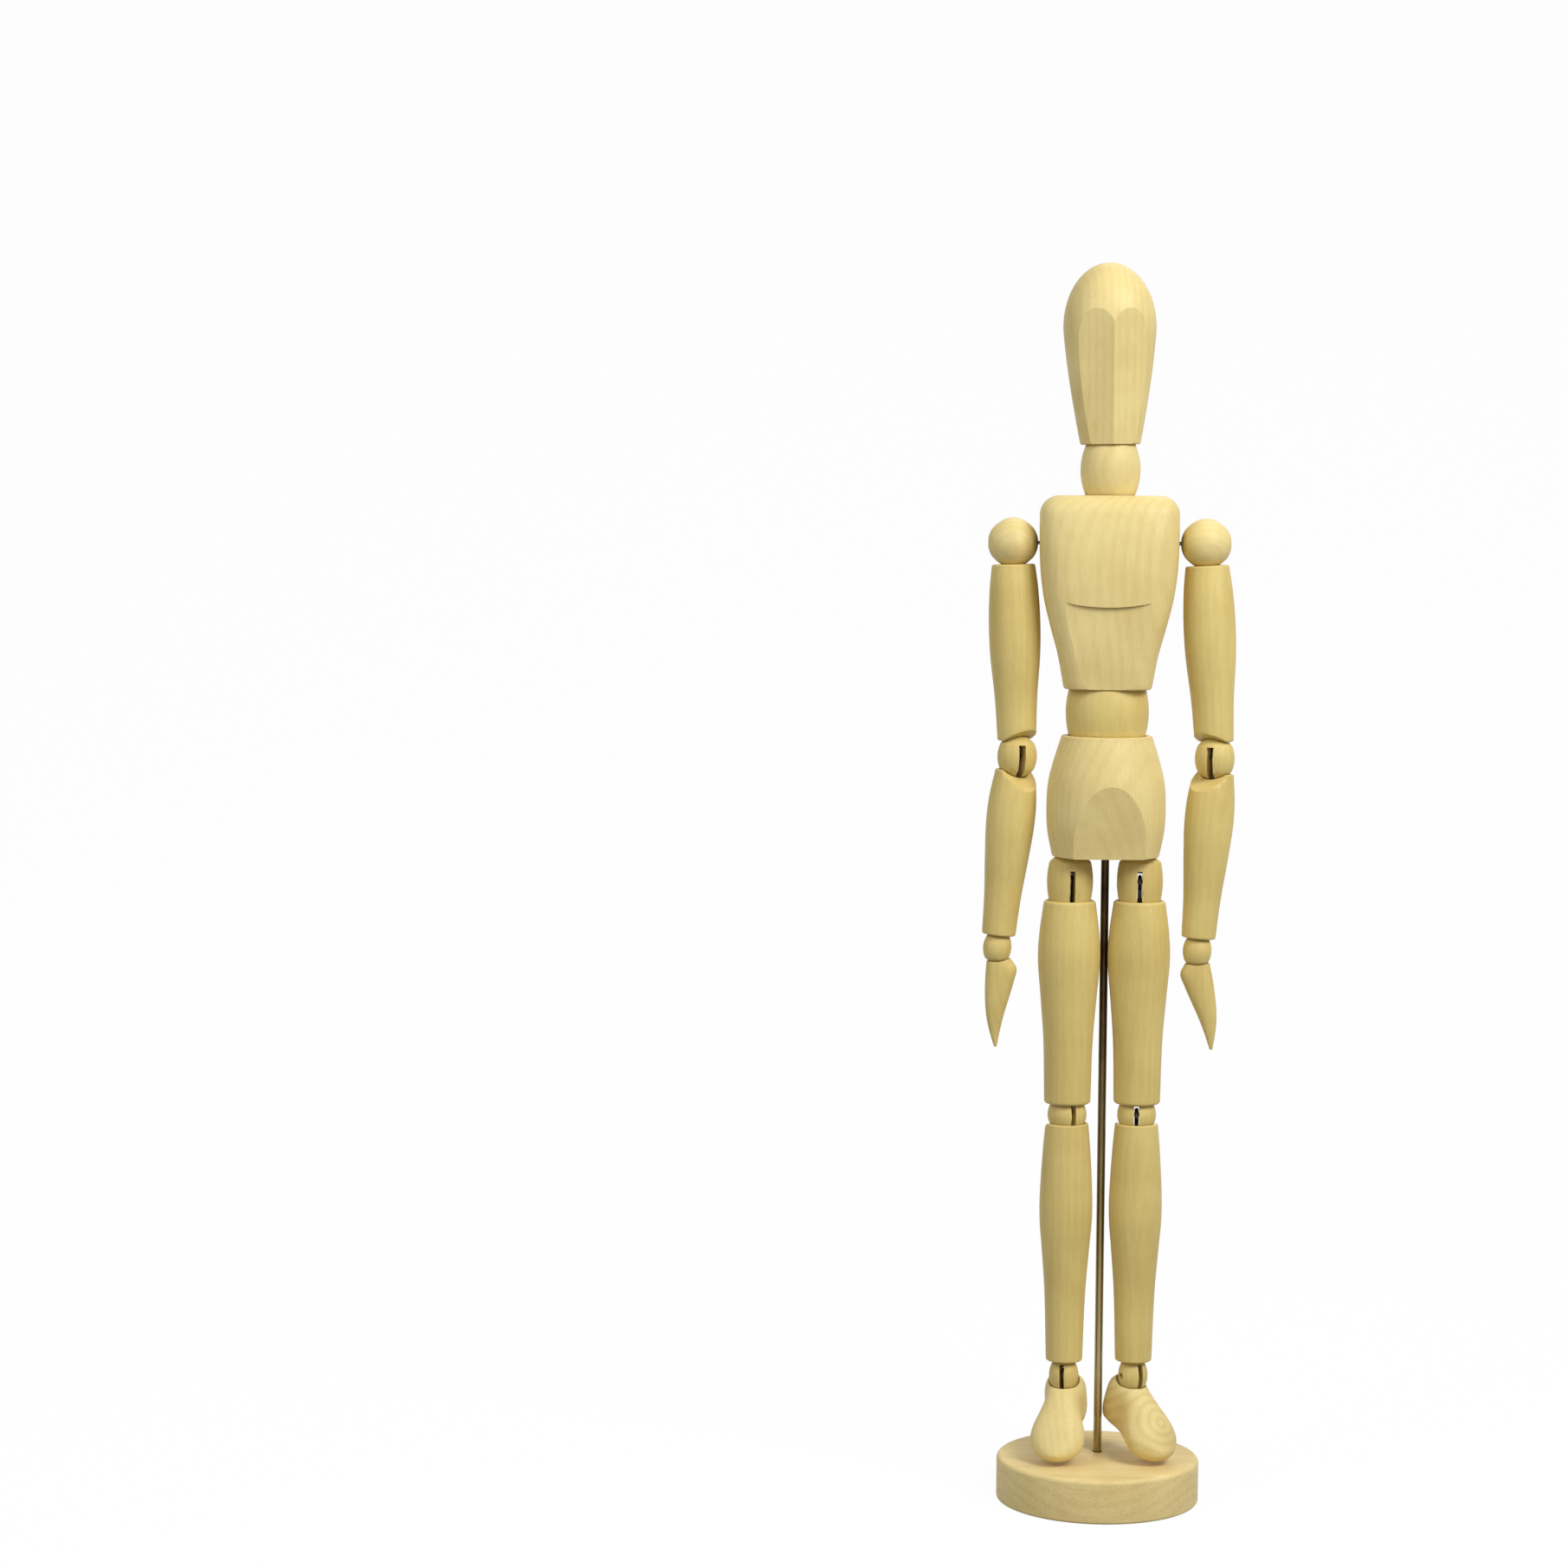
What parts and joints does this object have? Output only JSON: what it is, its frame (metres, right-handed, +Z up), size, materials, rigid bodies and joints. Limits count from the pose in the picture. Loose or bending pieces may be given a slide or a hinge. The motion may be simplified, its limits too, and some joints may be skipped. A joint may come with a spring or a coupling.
{
  "type": "artist drawing mannequin",
  "caption": "Pale wooden human figure with turned limbs and slotted barrel joints on wire links and springs, held upright by a thin steel rod on a round wooden disc, posed for drawing",
  "frame": {"origin": "centre of the underside of the stand", "axes": "+Z up along the figure, -Y to the figure's front, +X to the figure's left"},
  "size_m": [0.0615, 0.05, 0.305],
  "materials": {
    "pale_wood": "smooth sanded, thin satin varnish",
    "stand_wood": "sanded, thin satin varnish",
    "steel_wire": "drawn bright wire",
    "dark_rod": "drawn rod, darkened"
  },
  "bodies": {
    "base": {"base": "stand_wood"},
    "rod": {"support_rod": "dark_rod"},
    "pelvis": {"pelvis": "pale_wood", "hip_stud_right": "steel_wire", "hip_stud_left": "steel_wire"},
    "waist": {"waist": "pale_wood"},
    "spine": {"spine_spring": "steel_wire"},
    "chest": {"chest": "pale_wood", "shoulder_spring": "steel_wire"},
    "neck": {"neck": "pale_wood"},
    "neck_core": {"neck_spring": "steel_wire"},
    "head": {"head": "pale_wood"},
    "shoulder_right": {"shoulder_ball_right": "pale_wood", "shoulder_pin_right": "steel_wire"},
    "upper_arm_right": {"upper_arm_right": "pale_wood", "upper_arm_wire_right": "steel_wire"},
    "elbow_right": {"elbow_ball_right": "pale_wood", "elbow_pin_right": "steel_wire"},
    "forearm_right": {"forearm_right": "pale_wood", "forearm_wire_right": "steel_wire"},
    "wrist_right": {"wrist_ball_right": "pale_wood", "wrist_pin_right": "steel_wire"},
    "hand_right": {"hand_right": "pale_wood", "hand_wire_right": "steel_wire"},
    "hip_right": {"hip_ball_right": "pale_wood", "hip_pin_right": "steel_wire"},
    "thigh_right": {"thigh_right": "pale_wood", "thigh_wire_right": "steel_wire"},
    "knee_right": {"knee_ball_right": "pale_wood", "knee_pin_right": "steel_wire"},
    "calf_right": {"calf_right": "pale_wood", "calf_wire_right": "steel_wire"},
    "ankle_right": {"ankle_ball_right": "pale_wood", "ankle_pin_right": "steel_wire"},
    "foot_right": {"foot_right": "pale_wood", "foot_wire_right": "steel_wire"},
    "shoulder_left": {"shoulder_ball_left": "pale_wood", "shoulder_pin_left": "steel_wire"},
    "upper_arm_left": {"upper_arm_left": "pale_wood", "upper_arm_wire_left": "steel_wire"},
    "elbow_left": {"elbow_ball_left": "pale_wood", "elbow_pin_left": "steel_wire"},
    "forearm_left": {"forearm_left": "pale_wood", "forearm_wire_left": "steel_wire"},
    "wrist_left": {"wrist_ball_left": "pale_wood", "wrist_pin_left": "steel_wire"},
    "hand_left": {"hand_left": "pale_wood", "hand_wire_left": "steel_wire"},
    "hip_left": {"hip_ball_left": "pale_wood", "hip_pin_left": "steel_wire"},
    "thigh_left": {"thigh_left": "pale_wood", "thigh_wire_left": "steel_wire"},
    "knee_left": {"knee_ball_left": "pale_wood", "knee_pin_left": "steel_wire"},
    "calf_left": {"calf_left": "pale_wood", "calf_wire_left": "steel_wire"},
    "ankle_left": {"ankle_ball_left": "pale_wood", "ankle_pin_left": "steel_wire"},
    "foot_left": {"foot_left": "pale_wood", "foot_wire_left": "steel_wire"}
  },
  "joints": [
    {"name": "rod_turn", "type": "hinge", "parent": "base", "child": "rod", "pos_m": [0, 0.0035, 0.0108], "axis": [0, 0, 1], "continuous": true},
    {"name": "figure_lift", "type": "slide", "parent": "rod", "child": "pelvis", "axis": [0, 0, 1], "range_m": [0, 0.013]},
    {"name": "waist_turn", "type": "hinge", "parent": "pelvis", "child": "waist", "pos_m": [0, 0, 0.19575], "axis": [0, 0, 1], "range_deg": [-45, 45]},
    {"name": "waist_lean", "type": "hinge", "parent": "waist", "child": "spine", "pos_m": [0, 0, 0.19575], "axis": [0, 1, 0], "range_deg": [-4, 2.5], "deforming": ["spine_spring"]},
    {"name": "waist_bend", "type": "hinge", "parent": "spine", "child": "chest", "pos_m": [0, 0, 0.19575], "axis": [1, 0, 0], "range_deg": [-15, 30], "deforming": ["spine_spring"]},
    {"name": "neck_turn", "type": "hinge", "parent": "chest", "child": "neck", "pos_m": [0, 0, 0.2548], "axis": [0, 0, 1], "range_deg": [-80, 80]},
    {"name": "head_tilt", "type": "hinge", "parent": "neck", "child": "neck_core", "pos_m": [0, 0, 0.2548], "axis": [-0.1045, 0.9945, 0], "range_deg": [-12, 12], "deforming": ["neck_spring"]},
    {"name": "head_nod", "type": "hinge", "parent": "neck_core", "child": "head", "pos_m": [0, 0, 0.2548], "axis": [0.9944, 0.1045, 0.0175], "range_deg": [-15, 25], "deforming": ["neck_spring"]},
    {"name": "arm_swing_right", "type": "hinge", "parent": "chest", "child": "shoulder_right", "pos_m": [-0.0235, 0, 0.237], "axis": [-1, 0, 0], "range_deg": [-60, 170]},
    {"name": "arm_raise_right", "type": "hinge", "parent": "shoulder_right", "child": "upper_arm_right", "pos_m": [-0.0235, 0, 0.237], "axis": [0, 1, 0], "range_deg": [0, 90]},
    {"name": "elbow_turn_right", "type": "hinge", "parent": "upper_arm_right", "child": "elbow_right", "pos_m": [-0.0219, 0, 0.18462], "axis": [-0.0305, 0, -0.9995], "range_deg": [-60, 90]},
    {"name": "elbow_bend_right", "type": "hinge", "parent": "elbow_right", "child": "forearm_right", "pos_m": [-0.0219, 0, 0.18462], "axis": [-0.9506, -0.309, 0.029], "range_deg": [0, 100]},
    {"name": "wrist_turn_right", "type": "hinge", "parent": "forearm_right", "child": "wrist_right", "pos_m": [-0.02625, 0, 0.13732], "axis": [-0.0915, 0, -0.9958], "range_deg": [-90, 90]},
    {"name": "wrist_bend_right", "type": "hinge", "parent": "wrist_right", "child": "hand_right", "pos_m": [-0.02625, 0, 0.13732], "axis": [0, 1, 0], "range_deg": [-10, 50]},
    {"name": "hip_turn_right", "type": "hinge", "parent": "pelvis", "child": "hip_right", "pos_m": [-0.00855, -0.0009, 0.1541], "axis": [0, 0, -1], "range_deg": [-4, 15]},
    {"name": "leg_swing_right", "type": "hinge", "parent": "hip_right", "child": "thigh_right", "pos_m": [-0.00855, -0.0009, 0.1541], "axis": [-0.9903, -0.1392, 0], "range_deg": [0, 85]},
    {"name": "knee_turn_right", "type": "hinge", "parent": "thigh_right", "child": "knee_right", "pos_m": [-0.00855, -0.0009, 0.0963], "axis": [0, 0, -1], "range_deg": [-3, 15]},
    {"name": "knee_bend_right", "type": "hinge", "parent": "knee_right", "child": "calf_right", "pos_m": [-0.00855, -0.0009, 0.0963], "axis": [0.9272, 0.3746, 0], "range_deg": [0, 90]},
    {"name": "ankle_turn_right", "type": "hinge", "parent": "calf_right", "child": "ankle_right", "pos_m": [-0.00855, -0.0009, 0.0311], "axis": [0, 0, -1], "range_deg": [-3, 15]},
    {"name": "foot_lift_right", "type": "hinge", "parent": "ankle_right", "child": "foot_right", "pos_m": [-0.00855, -0.0009, 0.0311], "axis": [-0.9877, 0.1564, 0], "range_deg": [0, 35]},
    {"name": "arm_swing_left", "type": "hinge", "parent": "chest", "child": "shoulder_left", "pos_m": [0.0235, 0, 0.237], "axis": [-1, 0, 0], "range_deg": [-60, 170]},
    {"name": "arm_raise_left", "type": "hinge", "parent": "shoulder_left", "child": "upper_arm_left", "pos_m": [0.0235, 0, 0.237], "axis": [0, -1, 0], "range_deg": [0, 90]},
    {"name": "elbow_turn_left", "type": "hinge", "parent": "upper_arm_left", "child": "elbow_left", "pos_m": [0.02633, 0, 0.18468], "axis": [0.0105, 0, 0.9999], "range_deg": [-60, 90]},
    {"name": "elbow_bend_left", "type": "hinge", "parent": "elbow_left", "child": "forearm_left", "pos_m": [0.02633, 0, 0.18468], "axis": [-0.951, 0.309, 0.01], "range_deg": [0, 100]},
    {"name": "wrist_turn_left", "type": "hinge", "parent": "forearm_left", "child": "wrist_left", "pos_m": [0.02277, 0, 0.13731], "axis": [0.075, 0, 0.9972], "range_deg": [-90, 90]},
    {"name": "wrist_bend_left", "type": "hinge", "parent": "wrist_left", "child": "hand_left", "pos_m": [0.02277, 0, 0.13731], "axis": [0, -1, 0], "range_deg": [-10, 50]},
    {"name": "hip_turn_left", "type": "hinge", "parent": "pelvis", "child": "hip_left", "pos_m": [0.00855, 0.0009, 0.1541], "axis": [0, 0, 1], "range_deg": [-12, 3]},
    {"name": "leg_swing_left", "type": "hinge", "parent": "hip_left", "child": "thigh_left", "pos_m": [0.00855, 0.0009, 0.1541], "axis": [-1, 0, 0], "range_deg": [0, 85]},
    {"name": "knee_turn_left", "type": "hinge", "parent": "thigh_left", "child": "knee_left", "pos_m": [0.00855, 0.0009, 0.0963], "axis": [0, 0, 1], "range_deg": [-5, 3]},
    {"name": "knee_bend_left", "type": "hinge", "parent": "knee_left", "child": "calf_left", "pos_m": [0.00855, 0.0009, 0.0963], "axis": [1, 0, 0], "range_deg": [0, 90]},
    {"name": "ankle_turn_left", "type": "hinge", "parent": "calf_left", "child": "ankle_left", "pos_m": [0.00855, 0.0009, 0.0311], "axis": [0, 0, 1], "range_deg": [-8, 3]},
    {"name": "foot_lift_left", "type": "hinge", "parent": "ankle_left", "child": "foot_left", "pos_m": [0.00855, 0.0009, 0.0311], "axis": [-0.829, -0.5592, 0], "range_deg": [0, 35]}
  ]
}
